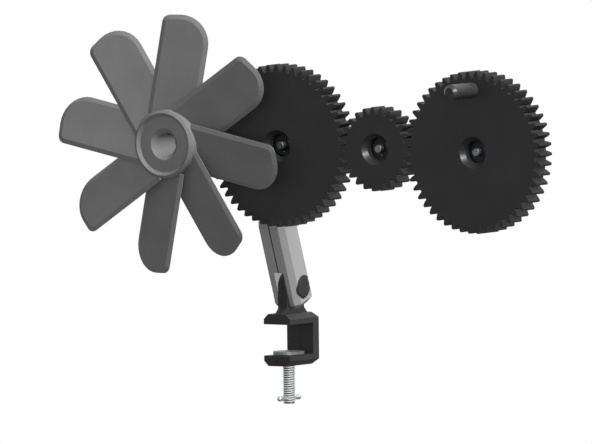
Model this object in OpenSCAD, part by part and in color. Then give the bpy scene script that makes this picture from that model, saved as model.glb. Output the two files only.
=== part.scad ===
// Hand cranked desk fan on a folding arm with a screw clamp.
// Millimetres. The origin is the middle of the upper jaw's underside, where the desk top
// touches it. X runs along the gear train to the crank, Z is up, and the fan faces -Y.

/* [Clamp] */
// Depth of the throat, from the mouth to the spine
throat_d = 40; // [34:1:60]
// Height of the throat between the jaws
throat_h = 30; // [26:1:60]
// Thickness of each jaw
jaw_t = 10; // [8:0.5:14]
// Thickness of the spine
spine_t = 10; // [8:0.5:14]
// Chamfer along the clamp's outer edges
clamp_chamfer = 5; // [2:0.5:6]
// Height of the lower pivot above the clamp's top
pivot_rise = 25; // [24:0.5:32]
// Distance of the lower pivot behind the screw's axis
pivot_back = 5; // [2:0.5:5]
// Flare at the foot of the clamp's tab
tab_flare = 5; // [2:0.5:6]
// Depth of the fine line that marks the middle of the moulded pieces
seam = 0.4; // [0.2:0.1:0.8]

/* [Clamp screw] */
// Diameter of the screw over its thread
screw_d = 12; // [10:0.5:14]
// Length of the screw below the pad
screw_l = 47.5; // [44:0.5:70]
// Diameter of the pad on the screw's end
pad_d = 30; // [22:1:34]
// Thickness of the pad
pad_t = 2.7; // [2.4:0.1:5]
// Gap between the pad and the lower jaw when the clamp is wound right open
pad_gap = 0.7; // [0.5:0.1:2]
// Diameter of the rivet neck that carries the pad
rivet_d = 6; // [5:0.5:7]
// Diameter over the riveted head inside the pad
rivet_head_d = 8.4; // [7.6:0.2:9.4]
// Outer diameter of the threaded insert in the lower jaw
insert_d = 17; // [16:0.5:20]
// Diameter of the tommy bar
bar_d = 4.4; // [3:0.1:4.6]
// Length of the tommy bar between its knobs' outer ends
bar_l = 37.5; // [32:0.5:60]
// Diameter of the round knobs on the tommy bar
knob_d = 5; // [4.8:0.1:8]
// Height of the tommy bar above the screw's lower end
bar_up = 5.3; // [4.6:0.1:8]

/* [Arm] */
// Distance from pivot to pivot along the arm
arm_l = 65; // [62:1:120]
// Width and depth of the arm, and width of the clamp
arm_w = 30; // [29:0.5:36]
// Chamfer along every long edge and round the arm's foot
arm_chamfer = 5; // [3:0.5:6]
// Lean of the arm towards the fan, in degrees
arm_lean = 20; // [17:0.5:24]
// Length of the arm beyond its lower pivot
fork_end = 18.5; // [17:0.5:20]
// Depth of the slot above the lower pivot
slot_up = 20.5; // [20:0.5:24]
// Thickness of the clamp's tab and of the neck's tongue
tab_t = 10; // [8:0.2:12]
// Radius of the round top of the clamp's tab
tab_r = 15; // [12:0.5:15]
// Radius of the round end of the neck's tongue
tongue_r = 11.5; // [10:0.1:12]
// Height of the stop rail above the upper pivot
rail_rise = 9.5; // [6:0.5:10]
// Diameter of the two screws that close the arm's halves
arm_screw_d = 4; // [3:0.5:5]

/* [Pivots] */
// Diameter of the pivot bolt and of the pivot pin
pivot_d = 8; // [6:0.5:8]
// Diameter of the round pocket over each bolt end
pocket_d = 23.2; // [21:0.2:24]
// Depth of those pockets
pocket_h = 6.5; // [6.2:0.1:7]
// Diameter of the pivot caps
cap_d = 22.6; // [20:0.2:22.8]
// Width of the bevel round the face of each cap
cap_bevel = 2.8; // [1:0.1:3]
// Drop of that bevel
cap_drop = 1; // [0.5:0.1:1.5]
// Width across the flats of the bolt heads and nuts
bolt_af = 13; // [12:0.5:13.5]
// Height of the bolt's head
bolt_head_h = 5.3; // [4:0.1:5.3]
// Thickness of the bolt's nut
pivot_nut_h = 4.5; // [3.5:0.1:4.6]
// Length of the pin inside the upper joint
pin_l = 23.6; // [20:0.2:24]
// Thickness of the friction washers beside the tab and the tongue
friction_t = 0.25; // [0.2:0.05:0.6]

/* [Gears] */
// Module of every gear, the pitch diameter for each tooth
gear_m = 3; // [3:0.1:3.2]
// Teeth on the crank gear and the transfer gear
big_teeth = 50; // [46:2:56]
// Teeth on the idler and on the fan's pinion
small_teeth = 25; // [23:2:29]
// Thickness of the gears
gear_t = 20; // [18:0.5:26]
// Slack on the thickness of each tooth
backlash = 0.15; // [0.1:0.01:0.3]
// Bevel round the mouth of each gear's bore
bore_bevel = 4.2; // [2:0.1:5]
// Distance of the transfer gear's axle from the middle of the arm
train_offset = 28.1; // [27:0.1:34]
// Height of the gear train above the upper pivot
neck_rise = 78.72; // [72:0.02:100]
// Distance of the gears' backs in front of the upper pivot
gear_ahead = 21.27; // [19:0.01:26]

/* [Bearings] */
// Outer diameter of the ball bearings
bearing_od = 22; // [21:0.5:24]
// Bore of the ball bearings and diameter of the axles
bearing_id = 8; // [7:0.5:8.5]
// Width of the ball bearings
bearing_t = 7; // [6:0.5:8]
// Diameter of the balls
ball_d = 3.97; // [3.4:0.01:4]
// Number of balls in each bearing
ball_n = 7; // [5:1:8]
// Depth of the lip that each bearing is pushed in against, at the gear's back
bearing_lip = 3; // [2:0.5:6]
// Diameter of the axle's collar between bearing and frame
collar_d = 12; // [11:0.1:12.4]
// How far the axles stand out of the bearings
axle_out = 5.2; // [0.5:0.1:7]

/* [Fan] */
// Number of blades
blade_n = 8; // [4:1:9]
// Distance of the blade tips from the axis, along the blade's middle
blade_r = 126.8; // [90:0.1:140]
// Width of a blade
blade_w = 49.5; // [30:0.1:50]
// Shift of a blade's middle towards its leading edge
blade_shift = 1.75; // [0:0.05:4]
// Thickness of a blade
blade_t = 4; // [3:0.1:5]
// Width of the bevel round each blade
blade_bevel = 4.2; // [2:0.1:5]
// Thickness left at the blade's edge
blade_land = 0.5; // [0.3:0.1:1.5]
// Pitch of the blades, in degrees
blade_pitch = 15; // [8:0.5:20]
// Slant of the blade tips, in degrees
tip_slant = 11.25; // [0:0.25:16]
// Radius of the leading corner at the tip
tip_r_lead = 8.5; // [6:0.1:12]
// Radius of the trailing corner at the tip
tip_r_trail = 27; // [14:0.5:30]
// Turn of the first blade from upright, in degrees
first_blade = 11.25; // [0:0.25:44]
// Distance of the blades' mid-plane in front of the pinion
blade_ahead = 15.7; // [13:0.1:18]
// Diameter of the hub
hub_d = 65.6; // [56:0.2:66]
// Length of the hub in front of the pinion, to the start of its bevel
hub_l = 26.9; // [25:0.1:34]
// Width of the outer bevel of the hub's rim
rim_out = 2.8; // [1.5:0.1:4]
// Height of that bevel
rim_out_h = 2; // [1:0.1:3]
// Width of the inner bevel of the hub's rim
rim_in = 2.9; // [1.5:0.1:4]
// Depth of the recessed face inside the rim
rim_in_h = 2.9; // [1.5:0.1:4]

/* [Crank] */
// Distance of the handle from the crank gear's axis
crank_r = 60; // [40:0.5:62]
// Diameter of the handle sleeve
handle_d = 15; // [13:0.5:18]
// Length of the handle sleeve
handle_l = 39.2; // [32:0.2:60]
// Bevel at the handle's end
handle_bevel = 2.8; // [1:0.1:3.2]
// Diameter of the pin inside the handle
pin_d = 6; // [5.4:0.2:6.6]
// Diameter of the pin's thread through the gear
pin_thread_d = 5; // [4:0.5:5]
// Diameter of the pin's head
pin_head_d = 8.6; // [7.8:0.2:9]
// Thickness of the pin's head
pin_head_h = 2.4; // [1.5:0.1:3.5]
// Thickness of the plug in the handle's end
plug_t = 4; // [3:0.2:6]

/* [Frame] */
// Height of the frame bar
frame_h = 36; // [32:1:44]
// Thickness of the frame bar
frame_t = 12; // [10:0.5:14]
// Wall of the frame bar round its rear pockets
frame_wall = 4; // [3:0.5:5]
// Depth of the rear pockets
frame_pocket = 7; // [3:0.5:8]
// Diameter of the bosses round the axles
boss_d = 24; // [20:0.5:28]
// Gap between the neck's shoulder and the arm's round top
shoulder_gap = 1; // [0.6:0.1:3]
// Gap round the stop rail in the notch at the foot of the neck
notch_gap = 0.3; // [0.2:0.1:1]
// Spacing of the two screws that join bar and neck
frame_screw_gap = 18; // [16:0.5:20]
// Diameter of those screws
frame_screw_d = 5; // [4:0.5:5]

/* [Hidden] */
$fn = 64;

// Clearances. A running fit is radial, and a face gap is what flat moving faces keep.
run = 0.05;
face_gap = 0.05;
// Overshoot of a cut past the face that it leaves by
past = 1;

// Sizes and places that follow from the driving sizes
clamp_w = arm_w;
clamp_top = jaw_t;
mouth_y = -throat_d / 2;
spine_y = throat_d / 2;
pad_top = -throat_h + pad_gap + pad_t;
screw_top = pad_top - pad_t;
screw_bottom = screw_top - screw_l;
bar_z = screw_bottom + bar_up;
lower_y = pivot_back;
lower_z = clamp_top + pivot_rise;
upper_y = lower_y - arm_l * sin(arm_lean);
upper_z = lower_z + arm_l * cos(arm_lean);
slot_w = tab_t + 2 * (friction_t + face_gap);
train_z = upper_z + neck_rise;
gear_back = upper_y - gear_ahead;
frame_gap = gear_ahead - arm_w / 2;
centres = gear_m * (big_teeth + small_teeth) / 2;
transfer_x = train_offset;
idler_x = transfer_x + centres;
crank_x = idler_x + centres;
fan_x = transfer_x - centres;
train_xs = [crank_x, idler_x, transfer_x, fan_x];

// Distances forward from the gears' backs
bearing_a = bearing_lip;
bearing_b = bearing_a + bearing_t;
// How far the lip reaches in over the bearing's outer ring
lip_w = 2;
lip_r = bearing_od / 2 - lip_w;
ball_pitch = (bearing_od + bearing_id) / 4;
groove_r = ball_d / 2 + run;

// Teeth that meet on the line of centres: a tooth of one faces a gap of the other
big_step = 360 / big_teeth;
small_step = 360 / small_teeth;
transfer_phase = big_step / 2;
idler_phase = small_step / 2;
crank_phase = big_teeth % 2 == 0 ? 0 : big_step / 2;
fan_phase = big_teeth % 2 == 0 ? 0 : small_step / 2;

// Colours as the object shows them
black_plastic = "#2b2b2b";
grey_plastic = "#636363";
pale_plastic = "#b4b4b4";
steel = "#9a9a9a";
bright_steel = "#c8c8c8";
black_steel = "#2b2c2e";
seal_black = "#1c1c1c";
brass = "#b08d4c";

// Placing helpers: local Z points at the viewer in front of the fan
module on_train(x) {
    translate([x, gear_back, train_z])
        rotate([90, 0, 0])
            children();
}

// Local Z runs up the arm from its lower pivot
module on_arm() {
    translate([0, lower_y, lower_z])
        rotate([arm_lean, 0, 0])
            children();
}

module on_upper_pivot() {
    translate([0, upper_y, upper_z])
        children();
}

module on_lower_pivot() {
    translate([0, lower_y, lower_z])
        children();
}

// A cylinder along X whose left end is at x
module rod_x(x, d, l) {
    translate([x, 0, 0])
        rotate([0, 90, 0])
            cylinder(d = d, h = l);
}

// A hexagon prism along X, d across its flats
module hex_x(x, af, l) {
    translate([x, 0, 0])
        rotate([0, 90, 0])
            cylinder(d = af / cos(30), h = l, $fn = 6);
}

// A flat side profile, drawn in Y and Z, with a width along X centred on x
module side_plate(x, w) {
    translate([x - w / 2, 0, 0])
        rotate([90, 0, 90])
            linear_extrude(w)
                children();
}

// A fine V groove of depth seam in a face, as long as l, along local X
module seam_cut(l) {
    rotate([45, 0, 0])
        cube([l, seam * sqrt(2), seam * sqrt(2)], center = true);
}

// Side profile of the clamp: an open C with its mouth towards -Y
module clamp_profile() {
    c = clamp_chamfer;
    low = -throat_h - jaw_t;
    rear = spine_y + spine_t;
    difference() {
        polygon([
            [mouth_y, low], [rear - c, low], [rear, low + c],
            [rear, clamp_top - c], [rear - c, clamp_top], [mouth_y, clamp_top]
        ]);
        translate([mouth_y - past, -throat_h])
            square([throat_d + past, throat_h]);
    }
}

// Side profile of the tab that carries the arm
module tab_profile() {
    translate([lower_y, lower_z])
        circle(r = tab_r);
    polygon([
        [lower_y - tab_r - tab_flare, clamp_top - past],
        [lower_y - tab_r - tab_flare, clamp_top],
        [lower_y - tab_r, clamp_top + tab_flare],
        [lower_y - tab_r, lower_z],
        [lower_y + tab_r, lower_z],
        [lower_y + tab_r, clamp_top + tab_flare],
        [lower_y + tab_r + tab_flare, clamp_top],
        [lower_y + tab_r + tab_flare, clamp_top - past]
    ]);
}

module clamp_body() {
    c = clamp_chamfer;
    w = clamp_w / 2;
    low = -throat_h - jaw_t;
    rear = spine_y + spine_t;
    color(black_plastic)
        difference() {
            union() {
                intersection() {
                    side_plate(0, clamp_w)
                        clamp_profile();
                    translate([0, rear + past, 0])
                        rotate([90, 0, 0])
                            linear_extrude(rear - mouth_y + 2 * past)
                                polygon([
                                    [-w, low + c], [-w + c, low], [w - c, low], [w, low + c],
                                    [w, clamp_top - c], [w - c, clamp_top],
                                    [-w + c, clamp_top], [-w, clamp_top - c]
                                ]);
                }
                side_plate(0, tab_t)
                    tab_profile();
            }
            // Seat for the threaded insert, right through the lower jaw
            translate([0, 0, low - past])
                cylinder(d = insert_d, h = jaw_t + 2 * past);
            // Bore for the lower pivot bolt
            on_lower_pivot()
                rod_x(-tab_t / 2 - past, pivot_d + 2 * run, tab_t + 2 * past);
            // Mould line down the middle of the front faces and of the spine
            translate([0, mouth_y, jaw_t / 2])
                rotate([0, 90, 0])
                    seam_cut(jaw_t + 2 * past);
            translate([0, mouth_y, -throat_h - jaw_t / 2])
                rotate([0, 90, 0])
                    seam_cut(jaw_t + 2 * past);
            translate([0, spine_y, -throat_h / 2])
                rotate([0, 90, 0])
                    seam_cut(throat_h);
            translate([0, rear, -throat_h / 2])
                rotate([0, 90, 0])
                    seam_cut(throat_h + 2 * jaw_t + 2 * past);
            translate([0, lower_y - tab_r, (clamp_top + tab_flare + lower_z - past) / 2])
                rotate([0, 90, 0])
                    seam_cut(lower_z - clamp_top - tab_flare - past);
        }
}

module clamp_insert() {
    color(brass)
        translate([0, 0, -throat_h - jaw_t])
            difference() {
                cylinder(d = insert_d, h = jaw_t);
                translate([0, 0, -past])
                    cylinder(d = screw_d + 2 * run, h = jaw_t + 2 * past);
            }
}

// The riveted head widens by its slope at 45 degrees and ends this far below the pad's face
rivet_slope = (rivet_head_d - rivet_d) / 2;
rivet_sink = 0.3;

module clamp_pad() {
    color(bright_steel)
        difference() {
            translate([0, 0, screw_top])
                cylinder(d = pad_d, h = pad_t);
            translate([0, 0, screw_top - past])
                cylinder(d = rivet_d + 2 * run, h = pad_t + 2 * past);
            translate([0, 0, pad_top - rivet_slope - rivet_sink - run])
                rotate_extrude()
                    polygon([
                        [0, 0], [rivet_d / 2 + run, 0],
                        [rivet_head_d / 2 + run, rivet_slope],
                        [rivet_head_d / 2 + run, rivet_slope + rivet_sink + past],
                        [0, rivet_slope + rivet_sink + past]
                    ]);
        }
}

module clamp_screw() {
    tip = 1.2;
    color(bright_steel)
        difference() {
            rotate_extrude()
                polygon([
                    [0, screw_bottom], [screw_d / 2 - tip, screw_bottom],
                    [screw_d / 2, screw_bottom + tip],
                    [screw_d / 2, screw_top - tip - face_gap],
                    [screw_d / 2 - tip, screw_top - face_gap],
                    [rivet_d / 2, screw_top - face_gap],
                    [rivet_d / 2, pad_top - rivet_slope - rivet_sink],
                    [rivet_head_d / 2, pad_top - rivet_sink], [0, pad_top - rivet_sink]
                ]);
            translate([0, screw_d / 2 + past, bar_z])
                rotate([90, 0, 0])
                    cylinder(d = bar_d + 2 * run, h = screw_d + 2 * past);
        }
}

// Where the bar's plain stretch ends inside each knob
knob_y = bar_l / 2 - knob_d / 2;

module tommy_bar() {
    color(bright_steel)
        translate([0, knob_y, bar_z])
            rotate([90, 0, 0])
                cylinder(d = bar_d, h = 2 * knob_y);
}

module tommy_knobs() {
    color(bright_steel)
        for (s = [-1, 1])
            translate([0, s * knob_y, bar_z])
                difference() {
                    sphere(d = knob_d);
                    translate([0, -s * knob_d / 2, 0])
                        rotate([90, 0, 0])
                            cylinder(d = bar_d, h = knob_d, center = true);
                }
}

// Section of the arm and of the neck, seen along their length, with chamfered corners
module post_section() {
    w = arm_w / 2;
    c = arm_chamfer;
    polygon([
        [-w + c, -w], [w - c, -w], [w, -w + c], [w, w - c],
        [w - c, w], [-w + c, w], [-w, w - c], [-w, -w + c]
    ]);
}

// Half a disc about the X axis: the post's round top, with the same chamfers carried round
module round_top() {
    w = arm_w / 2;
    c = arm_chamfer;
    rotate([0, 90, 0])
        rotate([0, 0, 90])
            rotate_extrude(angle = 180)
                polygon([[0, -w], [w - c, -w], [w, -w + c], [w, w - c], [w - c, w], [0, w]]);
}

// Bevels all round the foot of the arm
module foot_bevels() {
    big = 2 * arm_w;
    c = arm_chamfer;
    for (i = [0 : 7])
        rotate([0, 0, 45 * i])
            translate([0, (i % 2 == 0 ? -arm_w / 2 : (c - arm_w) / sqrt(2)) + c / 2,
                -fork_end + c / 2])
                rotate([45, 0, 0])
                    translate([-big / 2, -big, -big / 2])
                        cube(big);
}

// The arm's two screws: one above the slot, one below the upper pivot, both ending in the
// right half this far short of its outer face
arm_screw_above = 8;
arm_screw_below = 20;
arm_screw_wall = 5;
arm_screw_zs = [slot_up + arm_screw_above, arm_l - arm_screw_below];
arm_screw_head_d = 2 * arm_screw_d;
arm_screw_head_h = arm_screw_d;
arm_screw_reach = arm_w / 2 - arm_screw_wall;
// Room round the neck's tongue, and how much wider than it the stop rail is on each side
tongue_gap = 0.3;
rail_spare = 0.2;
tongue_room = tongue_r + tongue_gap;
rail_w = tab_t + 2 * rail_spare;

// The whole arm in its own upright frame, before it is split down the middle
module arm_solid() {
    w = arm_w / 2;
    difference() {
        union() {
            translate([0, 0, -fork_end])
                linear_extrude(arm_l + fork_end)
                    post_section();
            translate([0, 0, arm_l])
                round_top();
            // Rail that stops the neck from falling forwards
            translate([-rail_w / 2, -w, arm_l - past])
                cube([rail_w, w - tongue_room, rail_rise + past]);
        }
        foot_bevels();
        // Slot round the clamp's tab
        translate([-slot_w / 2, -w - past, -fork_end - past])
            cube([slot_w, arm_w + 2 * past, fork_end + slot_up + past]);
        // Slot round the neck's tongue, open at the top and the back
        side_plate(0, slot_w) {
            translate([0, arm_l])
                circle(r = tongue_room);
            translate([0, arm_l - tongue_room])
                square([w + past, tongue_room + w + past]);
            translate([-tongue_room, arm_l])
                square([tongue_room + past, w + past]);
        }
        // Lower bolt's hole with the pockets for its caps, and the pin's blind bore above
        rod_x(-w - past, pivot_d + 2 * run, arm_w + 2 * past);
        rod_x(-w - past, pocket_d, pocket_h + past);
        rod_x(w - pocket_h, pocket_d, pocket_h + past);
        translate([0, 0, arm_l])
            rod_x(-pin_l / 2 - run, pivot_d + 2 * run, pin_l + 2 * run);
        // Screws that hold the halves together, sunk into the left side only
        for (z = arm_screw_zs)
            translate([0, 0, z]) {
                rod_x(-w - past, arm_screw_head_d + 4 * run, arm_screw_head_h + past);
                rod_x(-w, arm_screw_d, w + arm_screw_reach);
            }
        // Mould line down the front and the back
        for (y = [-w, w])
            translate([0, y, arm_l / 2])
                rotate([0, 90, 0])
                    seam_cut(2 * arm_l);
    }
}

// Cuts a half of the arm: side is -1 for the left and 1 for the right
module arm_half(side) {
    big = 2 * (arm_l + arm_w);
    color(pale_plastic)
        on_arm()
            intersection() {
                arm_solid();
                translate([side * big / 2, 0, arm_l / 2])
                    cube([big, big, big], center = true);
            }
}

module arm_left_half() {
    arm_half(-1);
}

module arm_right_half() {
    arm_half(1);
}

module arm_screws() {
    drive_af = arm_screw_d * 0.75;
    color(steel)
        on_arm()
            for (z = arm_screw_zs)
                translate([0, 0, z])
                    difference() {
                        union() {
                            rod_x(-arm_w / 2, arm_screw_head_d, arm_screw_head_h);
                            rod_x(-arm_w / 2 + arm_screw_head_h / 2, arm_screw_d,
                                arm_w / 2 + arm_screw_reach - arm_screw_head_h / 2);
                        }
                        hex_x(-arm_w / 2 - past, drive_af, arm_screw_head_h / 2 + past);
                    }
}

// Place along X of the bolt's seats
seat_x = arm_w / 2 - pocket_h;

// Hexagon head on the right, thread through to the nut on the left
module lower_pivot_bolt() {
    thread_out = 0.6;
    l = 2 * seat_x + pivot_nut_h + thread_out;
    color(steel)
        on_arm() {
            hex_x(seat_x, bolt_af, bolt_head_h);
            rod_x(-seat_x - pivot_nut_h - thread_out, pivot_d, l + bolt_head_h / 2);
        }
}

module lower_pivot_nut() {
    color(steel)
        on_arm()
            difference() {
                hex_x(-seat_x - pivot_nut_h, bolt_af, pivot_nut_h);
                rod_x(-seat_x - pivot_nut_h - past, pivot_d, pivot_nut_h + 2 * past);
            }
}

// A cap with a bevelled face, flush with the arm, and a hollow for the bolt's end
module pivot_cap() {
    r = cap_d / 2;
    wall = 0.9;
    hollow_r = bolt_af / cos(30) / 2 + 0.4;
    rotate([0, 90, 0])
        rotate_extrude()
            polygon([
                [hollow_r, 0], [r, 0], [r, pocket_h - cap_drop],
                [r - cap_bevel, pocket_h], [0, pocket_h], [0, pocket_h - wall],
                [hollow_r, pocket_h - wall]
            ]);
}

module lower_pivot_caps() {
    color(black_plastic)
        on_arm() {
            translate([seat_x, 0, 0])
                pivot_cap();
            mirror([1, 0, 0])
                translate([seat_x, 0, 0])
                    pivot_cap();
        }
}

washer_edge = 1.5;

module friction_washers(r) {
    for (x = [-slot_w / 2, slot_w / 2 - friction_t])
        difference() {
            rod_x(x, 2 * (r - washer_edge), friction_t);
            rod_x(x - past, pivot_d + 4 * run, friction_t + 2 * past);
        }
}

module lower_friction_washers() {
    color(steel)
        on_arm()
            friction_washers(tab_r);
}

module upper_pivot_pin() {
    color(steel)
        on_upper_pivot()
            rod_x(-pin_l / 2, pivot_d, pin_l);
}

module upper_friction_washers() {
    color(steel)
        on_upper_pivot()
            friction_washers(tongue_r);
}

// Heights above the upper pivot
ledge = neck_rise - frame_h / 2;
neck_top = neck_rise + frame_h / 2;
frame_front_y = -arm_w / 2;

// Heights of the joining screws above the upper pivot
frame_screw_zs = [neck_rise - frame_screw_gap / 2, neck_rise + frame_screw_gap / 2];
screw_head_d = 1.7 * frame_screw_d;
screw_head_h = frame_screw_d;
nut_af = 1.6 * frame_screw_d;
nut_h = 0.8 * frame_screw_d;

module neck() {
    w = arm_w / 2;
    clear_r = w + shoulder_gap;
    color(pale_plastic)
        on_upper_pivot()
            difference() {
                union() {
                    side_plate(0, tab_t) {
                        circle(r = tongue_r);
                        translate([-tongue_r, 0])
                            square([2 * tongue_r, clear_r + past]);
                    }
                    difference() {
                        linear_extrude(neck_top)
                            post_section();
                        rod_x(-w - past, 2 * clear_r, arm_w + 2 * past);
                    }
                }
                // Seat for the frame
                translate([-w - past, -w - past, ledge])
                    cube([arm_w + 2 * past, past + frame_t, frame_h + past]);
                // Notch that the stop rail enters when the neck tilts forwards
                translate([-rail_w / 2 - notch_gap, -w - past, 0])
                    cube([rail_w + 2 * notch_gap, past + w - tongue_r, rail_rise + notch_gap]);
                rod_x(-w, pivot_d + 2 * run, arm_w);
                for (z = frame_screw_zs)
                    translate([0, frame_front_y, z])
                        rotate([-90, 0, 0])
                            cylinder(d = frame_screw_d + 2 * run, h = arm_w + past);
            }
}

// A row of rear pockets between the axle bosses
module frame_pockets() {
    reach = frame_h / 2 - frame_wall;
    gap = boss_d / 2 + frame_wall;
    for (x = [fan_x, idler_x])
        translate([x + gap, -reach])
            square([centres - 2 * gap, 2 * reach]);
    translate([transfer_x + gap, -reach])
        square([centres - 2 * gap, 2 * reach]);
}

module gear_frame() {
    join = arm_w / 2 + frame_wall;
    color(pale_plastic)
        translate([0, gear_back + frame_gap, train_z])
            rotate([-90, 0, 0])
                mirror([0, 1, 0])
                    difference() {
                        linear_extrude(frame_t) {
                            translate([fan_x, -frame_h / 2])
                                square([crank_x - fan_x, frame_h]);
                            for (x = [fan_x, crank_x])
                                translate([x, 0])
                                    circle(d = frame_h);
                        }
                        // Pockets in the rear face, kept clear of the neck's seat
                        translate([0, 0, frame_t - frame_pocket])
                            linear_extrude(frame_pocket + past)
                                difference() {
                                    frame_pockets();
                                    translate([-join, -frame_h])
                                        square([2 * join, 2 * frame_h]);
                                }
                        for (x = train_xs)
                            translate([x, 0, -past])
                                cylinder(d = bearing_id + 2 * run, h = frame_t + 2 * past);
                        for (z = frame_screw_zs)
                            translate([0, z - neck_rise, -past]) {
                                cylinder(d = frame_screw_d + 2 * run, h = frame_t + 2 * past);
                                cylinder(d = (nut_af + 4 * run) / cos(30), h = nut_h + past,
                                    $fn = 6);
                            }
                    }
}

module frame_screws() {
    drive_af = 0.8 * frame_screw_d;
    tip = 0.5;
    reach = arm_w / 2 - frame_front_y - tip;
    color(steel)
        on_upper_pivot()
            for (z = frame_screw_zs)
                translate([0, arm_w / 2, z])
                    rotate([90, 0, 0])
                        difference() {
                            union() {
                                cylinder(d = frame_screw_d, h = reach);
                                translate([0, 0, -screw_head_h])
                                    cylinder(d = screw_head_d, h = screw_head_h);
                            }
                            translate([0, 0, -screw_head_h - past])
                                cylinder(d = drive_af / cos(30), h = screw_head_h / 2 + past,
                                    $fn = 6);
                        }
}

module frame_nuts() {
    color(steel)
        on_upper_pivot()
            for (z = frame_screw_zs)
                translate([0, frame_front_y + nut_h, z])
                    rotate([90, 0, 0])
                        difference() {
                            cylinder(d = nut_af / cos(30), h = nut_h, $fn = 6);
                            translate([0, 0, -past])
                                cylinder(d = frame_screw_d, h = nut_h + 2 * past);
                        }
}

axle_nut_af = 13;
axle_nut_h = 6.5;
axle_washer_d = 16;
axle_washer_t = 1.6;

// A stepped axle: journal in front, collar, then thread through the frame
module axle(x) {
    tip = 0.6;
    rear = frame_gap + frame_t + axle_washer_t + axle_nut_h + 2;
    r = bearing_id / 2;
    color(steel)
        on_train(x)
            rotate_extrude()
                polygon([
                    [0, -rear], [r - tip, -rear], [r, -rear + tip], [r, -frame_gap],
                    [collar_d / 2, -frame_gap], [collar_d / 2, bearing_a], [r, bearing_a],
                    [r, bearing_b + axle_out - tip], [r - tip, bearing_b + axle_out],
                    [0, bearing_b + axle_out]
                ]);
}

module crank_axle() {
    axle(crank_x);
}

module idler_axle() {
    axle(idler_x);
}

module transfer_axle() {
    axle(transfer_x);
}

module fan_axle() {
    axle(fan_x);
}

module axle_washers() {
    color(steel)
        for (x = train_xs)
            on_train(x)
                translate([0, 0, -frame_gap - frame_t - axle_washer_t])
                    difference() {
                        cylinder(d = axle_washer_d, h = axle_washer_t);
                        translate([0, 0, -past])
                            cylinder(d = bearing_id + 4 * run, h = axle_washer_t + 2 * past);
                    }
}

module axle_nuts() {
    color(steel)
        for (x = train_xs)
            on_train(x)
                translate([0, 0, -frame_gap - frame_t - axle_washer_t - axle_nut_h])
                    difference() {
                        cylinder(d = axle_nut_af / cos(30), h = axle_nut_h, $fn = 6);
                        translate([0, 0, -past])
                            cylinder(d = bearing_id, h = axle_nut_h + 2 * past);
                    }
}

// Wall of each bearing ring at its shoulder, and the thin seals between the rings
inner_r = ball_pitch - ball_d * 0.38;
outer_r = ball_pitch + ball_d * 0.44;
seal_t = 0.7;
seal_in = 0.2;
seal_gap = 0.1;
mid_a = bearing_a + bearing_t / 2;

module bearing_inner(x) {
    color(black_steel)
        on_train(x)
            rotate_extrude()
                difference() {
                    translate([bearing_id / 2, bearing_a])
                        square([inner_r - bearing_id / 2, bearing_t]);
                    translate([ball_pitch, mid_a])
                        circle(r = groove_r);
                }
}

module bearing_outer(x) {
    color(black_steel)
        on_train(x)
            rotate_extrude()
                difference() {
                    translate([outer_r, bearing_a])
                        square([bearing_od / 2 - outer_r, bearing_t]);
                    translate([ball_pitch, mid_a])
                        circle(r = groove_r);
                }
}

module bearing_seals(x) {
    color(seal_black)
        on_train(x)
            for (a = [bearing_a + seal_in, bearing_b - seal_in - seal_t])
                translate([0, 0, a])
                    difference() {
                        cylinder(r = outer_r, h = seal_t);
                        translate([0, 0, -past])
                            cylinder(r = inner_r + seal_gap, h = seal_t + 2 * past);
                    }
}

module bearing_balls(x) {
    color(bright_steel)
        on_train(x)
            for (i = [0 : ball_n - 1])
                rotate([0, 0, i * 360 / ball_n])
                    translate([ball_pitch, 0, mid_a])
                        sphere(d = ball_d, $fn = 32);
}

module bearing_cage(x) {
    cage_t = 1.6;
    cage_w = 4.9;
    color(brass)
        on_train(x)
            difference() {
                translate([0, 0, mid_a - cage_w / 2])
                    difference() {
                        cylinder(r = ball_pitch + cage_t / 2, h = cage_w);
                        translate([0, 0, -past])
                            cylinder(r = ball_pitch - cage_t / 2, h = cage_w + 2 * past);
                    }
                for (i = [0 : ball_n - 1])
                    rotate([0, 0, i * 360 / ball_n])
                        translate([ball_pitch, 0, mid_a])
                            rotate([0, 90, 0])
                                cylinder(r = groove_r, h = 2 * cage_t, center = true);
            }
}

module crank_bearing_inner() {
    bearing_inner(crank_x);
}

module idler_bearing_inner() {
    bearing_inner(idler_x);
}

module transfer_bearing_inner() {
    bearing_inner(transfer_x);
}

module fan_bearing_inner() {
    bearing_inner(fan_x);
}

module crank_bearing_outer() {
    bearing_outer(crank_x);
}

module idler_bearing_outer() {
    bearing_outer(idler_x);
}

module transfer_bearing_outer() {
    bearing_outer(transfer_x);
}

module fan_bearing_outer() {
    bearing_outer(fan_x);
}

module crank_bearing_seals() {
    bearing_seals(crank_x);
}

module idler_bearing_seals() {
    bearing_seals(idler_x);
}

module transfer_bearing_seals() {
    bearing_seals(transfer_x);
}

module fan_bearing_seals() {
    bearing_seals(fan_x);
}

module crank_bearing_balls() {
    bearing_balls(crank_x);
}

module idler_bearing_balls() {
    bearing_balls(idler_x);
}

module transfer_bearing_balls() {
    bearing_balls(transfer_x);
}

module fan_bearing_balls() {
    bearing_balls(fan_x);
}

module crank_bearing_cage() {
    bearing_cage(crank_x);
}

module idler_bearing_cage() {
    bearing_cage(idler_x);
}

module transfer_bearing_cage() {
    bearing_cage(transfer_x);
}

module fan_bearing_cage() {
    bearing_cage(fan_x);
}

// Involute teeth. inv_deg is the involute of a pressure angle, in degrees.
pressure = 20;
flank_steps = 4;
function inv_deg(a) = tan(a) * 180 / PI - a;
function base_r(teeth) = gear_m * teeth / 2 * cos(pressure);
function root_r(teeth) = gear_m * (teeth / 2 - 1.25);
function tip_r(teeth) = gear_m * (teeth / 2 + 1);
// Half of a tooth's angle at its pitch circle
function pitch_half(teeth) = (PI * gear_m / 2 - backlash) / (gear_m * teeth) * 180 / PI;
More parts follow.
